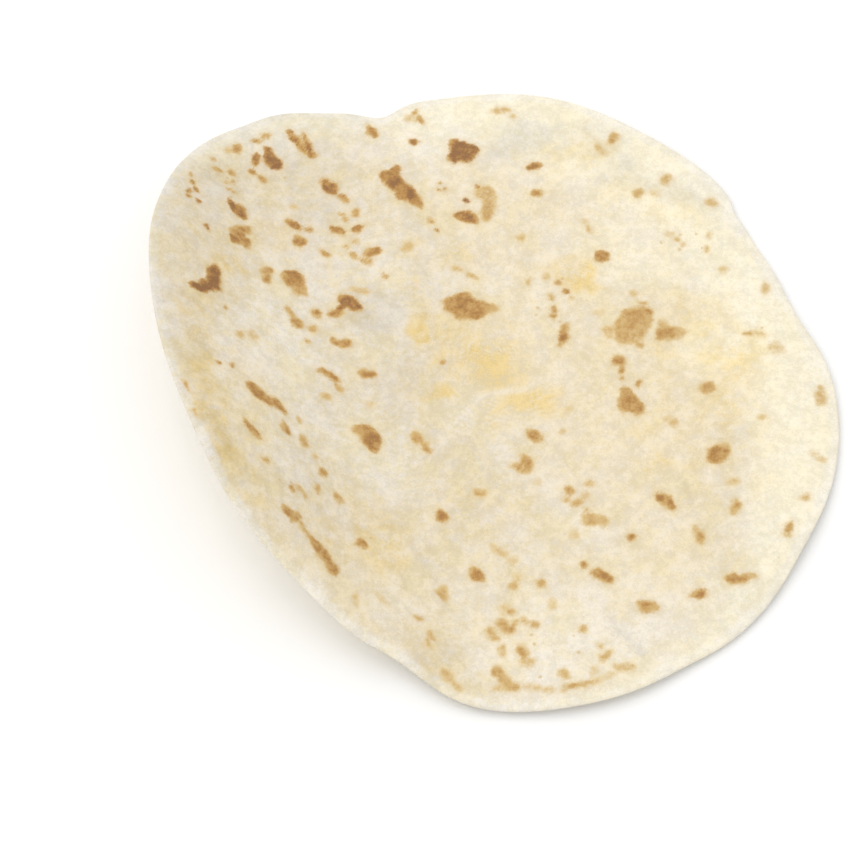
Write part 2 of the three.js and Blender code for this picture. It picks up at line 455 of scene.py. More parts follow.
# The mean and spread of the logarithm of their lengths, their widths as shares of these, how brown they are
UNDERSIDE_LENGTH_LOG = (1.5, 0.45)
UNDERSIDE_ASPECT = (0.45, 0.9)
UNDERSIDE_DEPTH = (0.3, 0.85)

# How buttery, freckled and floury the underside is all over
UNDERSIDE_TINT = 0.4

# A soft patch on the sheet: the pixel it is centred on, its length and width, its turn, its strength
Patch = namedtuple("Patch", "px py long wide turn strength")

# How far a patch's outline wanders, over what length, and the shares of its size between which it fades out
PATCH_WANDER = 6.0
PATCH_WANDER_LENGTH = 15.0
PATCH_FADE = (1.55, 0.25)

YELLOW_PATCHES = [
    Patch(480, 351, 21, 10, -5, 1.15),
    Patch(485, 374, 12, 18, -30, 1.0),
    Patch(512, 362, 18, 22, 0, 0.5),
    Patch(526, 408, 28, 14, 8, 1.05),
    Patch(423, 327, 13, 11, -45, 1.1),
    Patch(436, 391, 12, 11, -45, 1.0),
    Patch(411, 288, 4, 9, 0, 0.6),
    Patch(404, 375, 24, 40, 0, 0.15),
    Patch(196, 312, 16, 36, 10, 0.55),
    Patch(584, 276, 20, 8, -28, 1.0),
    Patch(650, 460, 20, 11, -15, 0.5),
    Patch(665, 425, 80, 72, 0, 0.22),
    Patch(705, 316, 26, 20, -30, 0.5),
    Patch(730, 358, 28, 24, -30, 0.6),
    Patch(732, 412, 12, 20, -10, 0.5),
    Patch(422, 246, 6, 8, 20, 0.4),
    Patch(456, 262, 16, 12, 0, 0.45),
    Patch(383, 541, 24, 26, 0, 0.55),
    Patch(234, 267, 15, 14, 0, 0.8),
    # At the left rim these yellow patches are painted yellow reflected light from beneath the lifted side
    Patch(211, 400, 16, 70, 15, 0.7),
    Patch(240, 480, 15, 46, 35, 0.4),
    Patch(580, 152, 22, 12, -20, 0.4),
    Patch(452, 348, 18, 24, 0, 0.55),
    Patch(472, 322, 30, 10, 0, 0.4),
    Patch(655, 345, 20, 18, 0, 0.4),
    Patch(268, 232, 26, 18, 0, 0.45),
    Patch(330, 535, 24, 24, 0, 0.5),
    Patch(733, 552, 14, 14, 0, 0.35),
    # Painted yellow reflected light at the left rim
    Patch(246, 405, 24, 70, 0, 0.3),
    Patch(216, 446, 14, 26, 15, 0.75),
    Patch(230, 264, 34, 26, 0, 0.3),
    Patch(650, 200, 40, 14, -31, 0.3),
    Patch(480, 520, 40, 26, 0, 0.2),
    Patch(415, 655, 20, 20, 0, 0.3),
]

# Painted shade: grey patches where dimples, valleys, folds and tilted places of the sheet lie in shade
SHADE_PATCHES = [
    Patch(520, 138, 30, 22, 0, 0.8),
    Patch(365, 308, 30, 26, 0, 1.0),
    Patch(650, 187, 60, 10, -31, 0.62),
    Patch(222, 172, 34, 34, 0, 0.74),
    Patch(295, 165, 36, 40, 0, 0.8),
    Patch(590, 143, 26, 18, -20, 0.64),
    Patch(396, 380, 30, 66, 0, 0.72),
    Patch(190, 320, 16, 60, 10, 0.76),
    Patch(487, 690, 22, 14, 0, 0.36),
    Patch(212, 425, 14, 44, 15, 0.92),
    Patch(425, 655, 24, 24, 0, 0.56),
    Patch(728, 535, 18, 44, 0, 0.32),
    Patch(322, 212, 26, 30, 0, 0.7),
    Patch(332, 402, 18, 20, 0, 0.6),
    Patch(735, 600, 24, 24, 0, 0.3),
    Patch(740, 448, 16, 20, 0, 0.3),
]

FLOURY_PATCHES = [
    Patch(268, 350, 44, 92, 0, 0.85),
    Patch(370, 452, 36, 30, 0, 0.6),
    Patch(428, 138, 28, 26, 0, 0.9),
    Patch(596, 664, 70, 36, 5, 0.8),
    Patch(548, 625, 22, 22, 0, 0.6),
    Patch(730, 232, 16, 18, 0, 0.5),
    Patch(812, 390, 14, 30, 0, 0.5),
    Patch(572, 520, 18, 18, 0, 0.5),
    Patch(205, 156, 14, 14, 0, 0.6),
    Patch(468, 412, 30, 20, 0, 0.5),
    Patch(372, 268, 22, 26, 0, 0.5),
    Patch(372, 338, 20, 20, 0, 0.5),
    Patch(575, 625, 24, 20, 0, 0.6),
]

# Painted light: further patches where the margin is painted paler, as if lit through from below
GLOW_PATCHES = [
    Patch(640, 256, 46, 30, -25, 0.65),
    Patch(722, 345, 32, 32, 0, 0.9),
    Patch(414, 136, 28, 28, 0, 0.5),
]

FRECKLED_PATCHES = [
    Patch(232, 188, 18, 22, 0, 0.9),
    Patch(262, 168, 26, 16, 0, 0.6),
    Patch(300, 325, 26, 24, 0, 0.6),
    Patch(345, 245, 24, 24, 0, 0.6),
    Patch(440, 190, 22, 14, 0, 0.7),
    Patch(560, 300, 20, 30, 0, 0.8),
    Patch(635, 350, 30, 16, 0, 0.6),
    Patch(700, 245, 26, 22, 0, 0.6),
    Patch(465, 272, 24, 12, 0, 0.5),
    Patch(300, 485, 26, 18, 0, 0.6),
    Patch(515, 650, 34, 30, 0, 0.7),
    Patch(600, 655, 34, 18, 10, 0.6),
    Patch(580, 505, 30, 14, -20, 0.6),
    Patch(430, 635, 14, 24, 0, 0.5),
    Patch(760, 340, 26, 10, -20, 0.5),
]

# A crease pressed into the sheet, from one pixel to another, with its depth and width
Crease = namedtuple("Crease", "x0 y0 x1 y1 depth width")

CREASES = [
    Crease(588, 138, 737, 217, 0.60, 1.8),
    Crease(572, 118, 610, 154, 0.50, 1.4),
    Crease(704, 179, 705, 195, 0.35, 1.0),
    Crease(680, 472, 712, 545, 0.55, 1.8),
    Crease(596, 606, 662, 670, 0.70, 2.2),
    Crease(402, 520, 470, 640, 0.40, 2.4),
    Crease(421, 588, 434, 532, 0.35, 1.2),
    Crease(400, 566, 409, 594, 0.35, 1.2),
    Crease(152, 302, 167, 302, 0.60, 1.2),
    Crease(169, 362, 183, 361, 0.60, 1.2),
]

# How far a crease wanders, over what length, and how much painted shade darkens the creases and wrinkles
# for each millimetre of their depth
CREASE_WANDER = 0.8
CREASE_WANDER_LENGTH = 9.0
CREASE_SHADE = 0.5

# Painted light: the back and right margins are painted paler and yellower, as if lit through the sheet from
# below, beyond this circle on the flat sheet
GLOW_CIRCLE_CENTRE = (-35, -25)
GLOW_CIRCLE_RADIUS = 127
GLOW_FADE = 12

# Painted shade: the dough is painted greyer towards the bent side, which lifts and gets less light, over
# this stretch along the sheet, most of all at its rim
SHADE_START = -35
SHADE_END = 25
SHADE_FADE = (-120, -20)
LIFTED_SHADE = 0.46
LIFTED_RIM_SHADE = 0.72
SHADE_RIM = (16, 2)

# How much of that painted shade a floury place hides, and where the floury rim ends, in from the edge
FLOUR_HIDES = 0.6
FLOURY_RIM = (2.0, 4.5)

# Unevenness of the baked faces, which fades out towards the rim
Relief = namedtuple("Relief", "height size")

PILLOW = Relief(0.20, 15.0)
GRAIN = Relief(0.05, 4.0)
WRINKLES = Relief(0.28, 13.0)
UNDERSIDE_HOLLOWS = Relief(0.08, 15.0)
RELIEF_FADE = (0.5, 5)

# How thin a wrinkle is; how many times as large as its noise the wrinkled places are;
# and the noise from which they begin and at which they are fully wrinkled
WRINKLE_THINNESS = 0.07
WRINKLED_PLACES = 3
WRINKLED_FADE = (-0.1, 0.5)

# Smooth noise: how fast its finer layers fade, how much finer each one is, and how many there are
NOISE_FALLOFF = 1.0
NOISE_STEP = 2.0
NOISE_LAYERS = 3

# Where each kind of unevenness cuts through the noise, so that no two are alike
PILLOW_CUT = 0.5
GRAIN_CUT = 2.5
CREASE_CUT = 3.5
WINDING_CUT = 4.5
WRINKLED_CUT = 5.5
HOLLOW_CUT = 9.5
TOAST_CUTS = (1.5, 7.5)
PATCH_CUTS = (11.5, 12.5)

# Colours of the dough and of its toasted marks
CREAM = (0.775, 0.685, 0.515, 1)
FLOURY = (0.85, 0.81, 0.72, 1)
# Painted light: the paler cream of the margin, as if lit through the sheet from below
GLOWING_CREAM = (0.87, 0.80, 0.625, 1)
PALE_TAN = (0.68, 0.51, 0.25, 1)
TAN = (0.58, 0.385, 0.155, 1)
BROWN = (0.445, 0.238, 0.075, 1)
SCORCHED = (0.28, 0.142, 0.058, 1)
TOAST_TONES = [(0.20, PALE_TAN), (0.45, TAN), (0.70, BROWN), (1.0, SCORCHED)]

# Shades that the dough's colour is multiplied by
# Buttery yellow: the dough's own tone, and at the left rim painted yellow reflected light
BUTTER_AND_BOUNCE_YELLOW = (0.985, 0.855, 0.53, 1)
YELLOWED = (0.98, 0.945, 0.81, 1)
WHITENED = (1.015, 1.035, 1.125, 1)
# The grey that painted shade multiplies the dough's colour by
SHADE_GREY = (0.83, 0.837, 0.872, 1)
NO_SHADE = (1.0, 1.0, 1.0, 1)

# Noise in the dough's material: its size, how many finer layers it has and how strong they are
Speckle = namedtuple("Speckle", "size detail roughness")

MOTTLE = Speckle(15, 6, 0.86)
LIGHTNESS = Speckle(6.5, 5, 0.95)
BUTTER_STREAKS = Speckle(7, 5, 0.75)
RAGGED_EDGES = Speckle(2.6, 5, 0.66)
BLOTCHES = Speckle(4.0, 5, 0.75)
PORES = Speckle(1.5, 3, 0.6)
FRECKLE_EDGES = Speckle(0.8, 2, 0.5)
FINE_BUMPS = Speckle(1.1, 3, 0.6)
BROAD_BUMPS = Speckle(3.5, 2, 0.5)
NOISE_MIDDLE = 0.5

# A smooth change from one value to another, while what it depends on goes from start to end
Ramp = namedtuple("Ramp", "start end low high", defaults=(0.0, 1.0))

# How raw dough takes its colours: in the margin's painted glow, at the rim, where it is floury and painted
# with a highlight, in mottled and lighter places, where painted glow and painted shade calm the mottle, and
# in buttery streaks
GLOW_PALENESS = 0.9
FLOURY_PALENESS = 0.45
RIM_FADE = Ramp(4.6, 2.0)
RIM_FLOUR_AND_HIGHLIGHT = Ramp(0, 1, 0.5, 0.4)
MOTTLE_CHANGE = Ramp(0.38, 0.62)
GLOW_CALMS = 0.5
SHADE_CALMS = Ramp(0, 0.4, 0.25, 0)
LIGHT_CHANGE = Ramp(0.38, 0.62, 0.92, 1.075)
BUTTER_CHANGE = Ramp(0.36, 0.62, 0.25, 1.2)

# How a mark browns: by its blotches, inwards from its edge, and with pores, a soft edge and a pale halo
EDGE_RAGGEDNESS = 2.9
BLOTCH_CHANGE = Ramp(0.34, 0.66, 0.72, 1.24)
INWARD_CHANGE = Ramp(0.8, -1.6, 0.52, 1.04)
PORE_CHANGE = Ramp(0.55, 1.0, 0.4, 1.0)
EDGE_SOFTNESS = Ramp(0.30, 0.80, 1.15, 0.75)
OUTER_EDGE = 1.2
INNER_EDGE = -0.6
HALO_FADE = Ramp(2.8, 0.2)
HALO_STRENGTH = 0.32

# Freckles: how far apart they could be, how ragged, how wide, how many there are and how brown
FRECKLE_SPACING = 3.0
FRECKLE_RAGGEDNESS = 0.25
FRECKLE_FADE = Ramp(0.44, 0.22)
FRECKLE_SHARE = Ramp(0, 1, 0.03, 0.45)
FRECKLE_STRENGTH = 0.55

# The dough's fine bumps and its dull, slightly floury finish
FINE_BUMP_SHARE = 0.6
BROAD_BUMP_SHARE = 0.8
BUMP_STRENGTH = 0.6
BUMP_HEIGHT = 0.3
DOUGH_ROUGHNESS = 0.78
DOUGH_SPECULAR = 0.25

# The table, just below the sheet, and the studio's light, in metres
TABLE_WHITE = (0.94, 0.94, 0.935, 1)
TABLE_ROUGHNESS = 0.9
TABLE_HALF = 6.0
TABLE_TOP = -0.0003
STUDIO_WHITE = (1.0, 1.0, 1.0, 1)
STUDIO_LIGHT = 0.90
KEY_PLACE = (-0.75, 0.25, 1.45)
KEY_SIZE = 1.6
KEY_POWER = 9.2


def bell(distance, spread):
    return np.exp(-0.5 * (distance / spread) ** 2)


def smooth_step(value, low, high):
    share = np.clip((value - low) / (high - low), 0, 1)
    return share * share * (3 - 2 * share)


def round_the_sheet(bells, angle):
    apart = [np.abs((angle - one.at + 540) % 360 - 180) for one in bells]
    return sum(one.by * bell(away, one.spread) for one, away in zip(bells, apart))


def edge_radius(angle):
    return WRAP_RADIUS + round_the_sheet(SWELLS, angle)


def angle_of(x, y):
    return np.degrees(np.arctan2(y, x)) % 360


def underside(x, y):
    """The place on the bent underside that the point (x, y) of the flat sheet goes to."""
    angle = angle_of(x, y)
    share = np.hypot(x, y) / edge_radius(angle)
    bend_radius = BEND_LENGTH / BEND_ANGLE

    along = x * math.cos(BEND_TOWARDS) + y * math.sin(BEND_TOWARDS)
    across = y * math.cos(BEND_TOWARDS) - x * math.sin(BEND_TOWARDS)
    past = np.maximum(0, along - BEND_START)
    on_arc = np.minimum(past, BEND_LENGTH)
    on_flap = past - on_arc
    turn = on_arc / bend_radius

    reach = np.minimum(along, BEND_START) + bend_radius * np.sin(turn) + on_flap * np.cos(turn)
    rise = bend_radius * (1 - np.cos(turn)) + on_flap * np.sin(turn)
    lip = np.maximum(0, (share - LIP_START) / (1 - LIP_START))
    drop = LIP_DROP * lip**2 * (turn / BEND_ANGLE) ** 2
    wave = round_the_sheet(RIM_WAVES, angle) * smooth_step(share, RIM_WAVE_START, 1)
    return np.stack(
        [
            reach * math.cos(BEND_TOWARDS) - across * math.sin(BEND_TOWARDS),
            reach * math.sin(BEND_TOWARDS) + across * math.cos(BEND_TOWARDS),
            rise - drop + wave,
        ],
        axis=-1,
    )


def upwards(x, y, step=0.01):
    here = underside(x, y)
    along_x = underside(x + step, y) - here
    along_y = underside(x, y + step) - here
    normal = np.cross(along_x, along_y)
    return normal / np.linalg.norm(normal, axis=-1, keepdims=True)


def rim_middle():
    """The middle, across the table, of the box round the bent sheet's rim."""
    angle = np.arange(0, 360, 0.5)
    radius = edge_radius(angle)
    rim = underside(radius * np.cos(np.radians(angle)), radius * np.sin(np.radians(angle)))
    return (rim.min(axis=0) + rim.max(axis=0))[:2] / 2


def blister_height(x, y):
    """How far the blisters rise; each is a bell about four spreads wide."""
    return sum(one.height * bell(np.hypot(x - one.x, y - one.y), one.width / 4) for one in BLISTERS)


def uneven(x, y, size, cut):
    """Smooth noise on the flat sheet, about -1 to 1, with features of the given size."""
    points = np.stack([x.ravel() / size, y.ravel() / size], axis=-1)
    values = [noise.fractal((px, py, cut), NOISE_FALLOFF, NOISE_STEP, NOISE_LAYERS) for px, py in points]
    return np.array(values).reshape(x.shape)


def wandering(x, y, wander, length, cuts):
    """Points moved a little this way and that, so that an outline drawn on them wanders."""
    return [line + wander * uneven(x, y, length, cut) for line, cut in zip((x, y), cuts)]


def disc_grid(cells):
    """Angles and shares of the radius for a square grid of points that fills the round sheet evenly."""
    line = np.linspace(-1, 1, cells + 1)
    a, b = np.meshgrid(line, line)
    share = np.maximum(np.abs(a), np.abs(b))
    safe = np.where(share == 0, 1, share)
    sideways = np.abs(a) >= np.abs(b)
    turn = np.where(sideways, b / safe * np.where(a < 0, -1, 1), 2 - a / safe * np.where(b < 0, -1, 1))
    opposite = np.where(sideways, a < 0, b < 0)
    angle = (turn * 45 + 180 * opposite) % 360
    return angle, share


def picture(points):
    """Where points of the part, in millimetres, fall in the photograph."""
    back = np.array([0, -math.cos(CAMERA_HEIGHT), math.sin(CAMERA_HEIGHT)])
    up = np.array([0, math.sin(CAMERA_HEIGHT), math.cos(CAMERA_HEIGHT)])
    away = points - (np.array(AIM) + back * CAMERA_DISTANCE)
    scale = PIXELS_PER_MM * CAMERA_DISTANCE / -(away @ back)
    middle = PHOTO_SIZE / 2
    return np.stack([middle + away[..., 0] * scale, middle - (away @ up) * scale], axis=-1)


class Sheet:
    """A grid on the flat sheet, and where its points lie once the sheet is bent and placed in the frame."""

    def __init__(self, cells, middle):
        angle, share = disc_grid(cells)
        rim_share = 1 - RIM_THICKNESS / 2 / WRAP_RADIUS
        radius = edge_radius(angle) * share * rim_share
        self.angle = angle
        self.x = radius * np.cos(np.radians(angle))
        self.y = radius * np.sin(np.radians(angle))
        self.inset = edge_radius(angle) * (1 - share * rim_share)
        self.up = upwards(self.x, self.y)
        self.shift = np.array([*(middle - rim_middle()), 0])
        self.under = underside(self.x, self.y) + self.shift
        self.pixels = picture(self.under + self.up * SHEET_THICKNESS)

    def at_pixel(self, px, py):
        """The point of the flat sheet that shows at a pixel of the photograph."""
        apart = np.hypot(self.pixels[..., 0] - px, self.pixels[..., 1] - py)
        nearest = np.unravel_index(np.argmin(apart), apart.shape)
        return self.x[nearest], self.y[nearest]


def turned(x, y, turn):
    along = x * math.cos(math.radians(turn)) + y * math.sin(math.radians(turn))
    across = y * math.cos(math.radians(turn)) - x * math.sin(math.radians(turn))
    return along, across


def oval_distance(x, y, long, wide, turn):
    """Roughly how far points lie outside an oval round the origin; less than zero inside it."""
    along, across = turned(x, y, turn)
    half_long = long / 2
    half_wide = wide / 2
    least_slope = 1e-6
    level = np.hypot(along / half_long, across / half_wide)
    slope = np.hypot(along / half_long**2, across / half_wide**2)
    return level * (level - 1) / np.maximum(slope, least_slope)


def toast_fields(x, y, marks):
    """Distance outside the nearest toasted mark, and how brown that mark is."""
    warped_x, warped_y = wandering(x, y, TOAST_WANDER, TOAST_WANDER_LENGTH, TOAST_CUTS)
    distance = np.full(x.shape, FAR_FROM_TOAST)
    depth = np.zeros(x.shape)
    for mark_x, mark_y, long, wide, turn, brown in marks:
        away = oval_distance(warped_x - mark_x, warped_y - mark_y, long, wide, turn)
        nearer = away < distance
        distance = np.where(nearer, away, distance)
        depth = np.where(nearer, brown, depth)
    return distance, depth


def patch_field(sheet, patches):
    """Soft patches with wandering outlines; where some overlap, the strongest counts."""
    warped_x, warped_y = wandering(sheet.x, sheet.y, PATCH_WANDER, PATCH_WANDER_LENGTH, PATCH_CUTS)
    strongest = np.zeros(sheet.x.shape)
    for patch in patches:
        x, y = sheet.at_pixel(patch.px, patch.py)
        along, across = turned(warped_x - x, warped_y - y, patch.turn)
        level = np.hypot(along / (patch.long / 2), across / (patch.wide / 2))
        strongest = np.maximum(strongest, patch.strength * smooth_step(level, *PATCH_FADE))
    return strongest


def crease_depth(sheet):
    """Creases that wander a little and fade out over a quarter of their length at each end."""
    total = np.zeros(sheet.x.shape)
    wander = CREASE_WANDER * uneven(sheet.x, sheet.y, CREASE_WANDER_LENGTH, CREASE_CUT)
    for crease in CREASES:
        start = np.array(sheet.at_pixel(crease.x0, crease.y0))
        run = np.array(sheet.at_pixel(crease.x1, crease.y1)) - start
        length = np.hypot(*run)
        fade = length / 4
        along = ((sheet.x - start[0]) * run[0] + (sheet.y - start[1]) * run[1]) / length
        across = ((sheet.y - start[1]) * run[0] - (sheet.x - start[0]) * run[1]) / length
        ends = smooth_step(along, 0, fade) * smooth_step(along, length, length - fade)
        total += crease.depth * ends * bell(across + wander, crease.width / 2)
    return total


def wrinkle_depth(x, y):
    """Thin winding wrinkles that follow the middle of one noise, in places that another one gives."""
    winding = np.abs(uneven(x, y, WRINKLES.size, WINDING_CUT))
    places = smooth_step(uneven(x, y, WRINKLES.size * WRINKLED_PLACES, WRINKLED_CUT), *WRINKLED_FADE)
    return WRINKLES.height * bell(winding, WRINKLE_THINNESS) * places


def hollow_depth(sheet):
    return crease_depth(sheet) + wrinkle_depth(sheet.x, sheet.y)


def upper_marks(sheet):
    return [(*sheet.at_pixel(one.px, one.py), one.long, one.wide, one.turn, one.depth) for one in TOASTS]


def lower_marks():
    """Marks spread over the underside, each well away from those before it."""
    random = np.random.default_rng(RANDOM_SEED)
    marks = []
    while len(marks) < UNDERSIDE_TOASTS:
        tries = random.uniform(-WRAP_RADIUS, WRAP_RADIUS, (UNDERSIDE_TRIES, 2))
        tries = [one for one in tries if np.hypot(*one) < UNDERSIDE_REACH * WRAP_RADIUS]
        gaps = [min((math.dist(one, mark[:2]) for mark in marks), default=1) for one in tries]
        x, y = tries[int(np.argmax(gaps))]
        long = random.lognormal(*UNDERSIDE_LENGTH_LOG)
        wide = long * random.uniform(*UNDERSIDE_ASPECT)
        turn = random.uniform(0, 180)
        depth = random.uniform(*UNDERSIDE_DEPTH)
        marks.append((x, y, long, wide, turn, depth))
    return marks


def upper_points(sheet, distance, depth):
    """Points of the baked upper face."""
    taper = smooth_step(sheet.inset, RIM_TAPER, 0)
    thickness = SHEET_THICKNESS + (RIM_THICKNESS - SHEET_THICKNESS) * taper
    pillow = PILLOW.height * uneven(sheet.x, sheet.y, PILLOW.size, PILLOW_CUT)
    grain = GRAIN.height * uneven(sheet.x, sheet.y, GRAIN.size, GRAIN_CUT)
    toast = TOAST_RISE * depth * smooth_step(distance, *TOAST_SHOULDER)
    relief = blister_height(sheet.x, sheet.y) + pillow + grain + toast - hollow_depth(sheet)
    inside = smooth_step(sheet.inset, *RELIEF_FADE)
    return sheet.under + sheet.up * (thickness + relief * inside)[..., None]


def lower_points(sheet):
    """Points of the underside, which is hollowed a little here and there and never swells downwards."""
    swell = uneven(sheet.x, sheet.y, UNDERSIDE_HOLLOWS.size, HOLLOW_CUT)
    hollow = np.maximum(0, UNDERSIDE_HOLLOWS.height * (1 + swell))
    inside = smooth_step(sheet.inset, *RELIEF_FADE)
    return sheet.under + sheet.up * (hollow * inside)[..., None]


def border(size):
    """Places in a size by size grid along its border, counter-clockwise."""
    line = np.arange(size - 1)
    last = size - 1
    rows = np.concatenate([0 * line, line, last + 0 * line, last - line])
    columns = np.concatenate([line, last + 0 * line, last - line, 0 * line])
    return rows, columns


def rim_loops(sheet):
    """Loops of points round the edge, from just above the underside to just below the upper face."""
    rows, columns = border(UPPER_CELLS + 1)
    angle = np.radians(sheet.angle[rows, columns])
    loops = []
    for step in range(1, RIM_STEPS):
        turn = math.pi * step / RIM_STEPS - math.pi / 2
        reach = RIM_THICKNESS / 2 * math.cos(turn)
        height = RIM_THICKNESS / 2 * (1 + math.sin(turn))
        x = sheet.x[rows, columns] + np.cos(angle) * reach
        y = sheet.y[rows, columns] + np.sin(angle) * reach
        loops.append(underside(x, y) + sheet.shift + upwards(x, y) * height)
    return loops


def grid_faces(index):
    corners = [index[:-1, :-1], index[:-1, 1:], index[1:, 1:], index[1:, :-1]]
    return np.stack(corners, axis=-1).reshape(-1, 4)


def sheet_faces(loop_count):
    """Faces of the upper grid, the coarser lower grid and the rim between them."""
    upper_size = UPPER_CELLS + 1
    lower_size = LOWER_CELLS + 1
    upper = np.arange(upper_size**2).reshape(upper_size, upper_size)
    lower = upper.size + np.arange(lower_size**2).reshape(lower_size, lower_size)
    faces = grid_faces(upper).tolist() + grid_faces(lower)[:, ::-1].tolist()

    upper_edge = upper[border(upper_size)]
    lower_edge = lower[border(lower_size)]
    first = upper.size + lower.size
    loops = [first + step * upper_edge.size + np.arange(upper_edge.size) for step in range(loop_count)]
    even = loops[0][0::2]
    odd = loops[0][1::2]
    faces += np.stack([lower_edge, np.roll(lower_edge, -1), np.roll(even, -1), odd, even], axis=-1).tolist()
    for low, high in zip(loops, loops[1:] + [upper_edge]):
        faces += np.stack([low, np.roll(low, -1), np.roll(high, -1), high], axis=-1).tolist()
    return faces


def surface_fields(sheet, distance, depth, yellow, freckled, floury):
    """What the dough's material needs to know at each point of a face."""
    from_glow_circle = np.hypot(sheet.x - GLOW_CIRCLE_CENTRE[0], sheet.y - GLOW_CIRCLE_CENTRE[1]) - GLOW_CIRCLE_RADIUS
    along = turned(sheet.x, sheet.y, math.degrees(BEND_TOWARDS))[0]
    # Painted shade on the lifted side, strongest near its rim
    lifted = smooth_step(along, SHADE_START, SHADE_END) * smooth_step(sheet.y, *SHADE_FADE)
    at_rim = smooth_step(sheet.inset, *SHADE_RIM)
    lifted_shade = lifted * (LIFTED_SHADE + (LIFTED_RIM_SHADE - LIFTED_SHADE) * at_rim)
    grey = np.maximum(lifted_shade, patch_field(sheet, SHADE_PATCHES)) * (1 - FLOUR_HIDES * floury)
    # Painted light through the margin, beyond the circle
    painted_glow = smooth_step(from_glow_circle, -GLOW_FADE, GLOW_FADE)
    return {
        "toast_distance": distance,
        "toast_depth": depth,
        "yellow": yellow * smooth_step(sheet.inset, *FLOURY_RIM),
        "freckled": freckled,
        "floury": floury,
        "painted_glow": np.maximum(painted_glow, patch_field(sheet, GLOW_PATCHES)),
        # Painted shade in the creases and wrinkles, darker where they are deeper
        "painted_shade": grey + CREASE_SHADE * hollow_depth(sheet),
        "rim_inset": sheet.inset,
    }


def build_tortilla():
    low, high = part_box("tortilla")
    middle = (np.array(low) + np.array(high))[:2] / 2 / MM
    upper = Sheet(UPPER_CELLS, middle)
    lower = Sheet(LOWER_CELLS, middle)
    marks_above = toast_fields(upper.x, upper.y, upper_marks(upper))
    marks_below = toast_fields(lower.x, lower.y, lower_marks())
    loops = rim_loops(upper)

    points = [upper_points(upper, *marks_above).reshape(-1, 3), lower_points(lower).reshape(-1, 3), *loops]
    mesh = bpy.data.meshes.new("tortilla_sheet")
    mesh.from_pydata((np.concatenate(points) * MM).tolist(), [], sheet_faces(len(loops)))
    mesh.shade_smooth()

    plain = np.full(lower.x.shape, UNDERSIDE_TINT)
    patches = [patch_field(upper, kind) for kind in (YELLOW_PATCHES, FRECKLED_PATCHES, FLOURY_PATCHES)]
    above = surface_fields(upper, *marks_above, *patches)
    below = surface_fields(lower, *marks_below, plain, plain, plain)
    edge = border(UPPER_CELLS + 1)
    for name, values in above.items():
        at_rim = np.tile(values[edge], len(loops))
        every = np.concatenate([values.ravel(), below[name].ravel(), at_rim])
        mesh.attributes.new(name, "FLOAT", "POINT").data.foreach_set("value", every.astype(np.float32))
    return bpy.data.objects.new("tortilla_sheet", mesh)


def add_node(tree, kind, inputs=None, **settings):
    """A shader node with its settings, and each input either linked or set to a plain value."""
    made = tree.nodes.new(kind)
    for name, value in settings.items():
        setattr(made, name, value)
    for name, value in (inputs or {}).items():
        if isinstance(value, bpy.types.NodeSocket):
            tree.links.new(value, made.inputs[name])
        else:
            made.inputs[name].default_value = value
    return made


class Shader:
    """Short names for the few kinds of shader node that the materials need."""

    def __init__(self, material):
        material.use_nodes = True
        self.tree = material.node_tree
        self.tree.nodes.clear()
        self.place = add_node(self.tree, "ShaderNodeTexCoord").outputs["Object"]

    def field(self, name):
        return add_node(self.tree, "ShaderNodeAttribute", attribute_name=name).outputs["Fac"]

    def noise(self, kind):
        inputs = {
            "Vector": self.place,
            "Scale": 1 / (kind.size * MM),
            "Detail": kind.detail,
            "Roughness": kind.roughness,
        }
        return add_node(self.tree, "ShaderNodeTexNoise", inputs).outputs["Fac"]

    def math(self, operation, a, b):
        return add_node(self.tree, "ShaderNodeMath", {0: a, 1: b}, operation=operation).outputs[0]

    def plus(self, a, b):
        return self.math("ADD", a, b)

    def times(self, a, b):
        return self.math("MULTIPLY", a, b)

    def ramp(self, value, change):
        inputs = {
            "Value": value,
            "From Min": change.start,
            "From Max": change.end,
            "To Min": change.low,
            "To Max": change.high,
        }
        made = add_node(self.tree, "ShaderNodeMapRange", inputs, interpolation_type="SMOOTHSTEP")
        return made.outputs["Result"]

    def colours(self, value, stops):
        made = add_node(self.tree, "ShaderNodeValToRGB", {"Fac": value})
        elements = made.color_ramp.elements
        for position, _ in stops[1:-1]:
            elements.new(position)
        for element, (position, colour) in zip(elements, stops):
            element.position = position
            element.color = colour
        return made.outputs["Color"]

    def grey(self, value):
        inputs = {"Red": value, "Green": value, "Blue": value}
        return add_node(self.tree, "ShaderNodeCombineColor", inputs).outputs["Color"]

    def mix(self, share, a, b, blend="MIX"):
        inputs = {0: share, 6: a, 7: b}
        return add_node(self.tree, "ShaderNodeMix", inputs, data_type="RGBA", blend_type=blend).outputs[2]

    def surface(self, inputs):
        principled = add_node(self.tree, "ShaderNodeBsdfPrincipled", inputs)
        add_node(self.tree, "ShaderNodeOutputMaterial", {"Surface": principled.outputs["BSDF"]})


